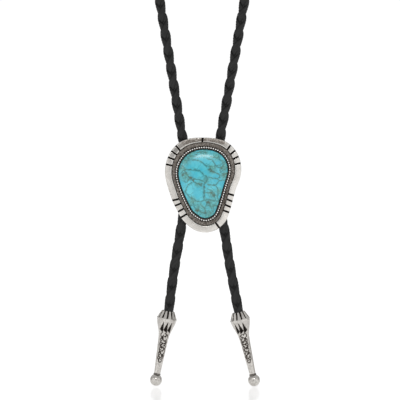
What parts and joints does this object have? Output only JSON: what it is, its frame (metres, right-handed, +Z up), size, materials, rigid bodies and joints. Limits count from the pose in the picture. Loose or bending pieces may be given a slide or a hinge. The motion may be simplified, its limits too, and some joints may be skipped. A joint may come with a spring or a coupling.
{
  "type": "bolo tie",
  "caption": "Braided black leather bolo tie worn in a neck loop, with a pear-shaped turquoise in a grooved silver slide and fluted silver tips.",
  "frame": {"origin": "underside of the cord at the nape, where the loop sits on the neck", "axes": "+Z up, the front of the slide looks along -Y, +X to the right as seen from the front"},
  "size_m": [0.1154, 0.1325, 0.4278],
  "materials": {
    "silver": "satin silver with oxidised grooves, floor and engraving",
    "clip": "plain nickel silver sheet",
    "stone": "polished turquoise with a brown web matrix",
    "cord": "braided black leather"
  },
  "bodies": {
    "root": {"slide_setting": "silver", "turquoise_stone": "stone", "back_clip": "clip", "neck_cord": "cord", "left_tail": "cord", "right_tail": "cord", "left_tip": "silver", "right_tip": "silver"}
  },
  "joints": []
}
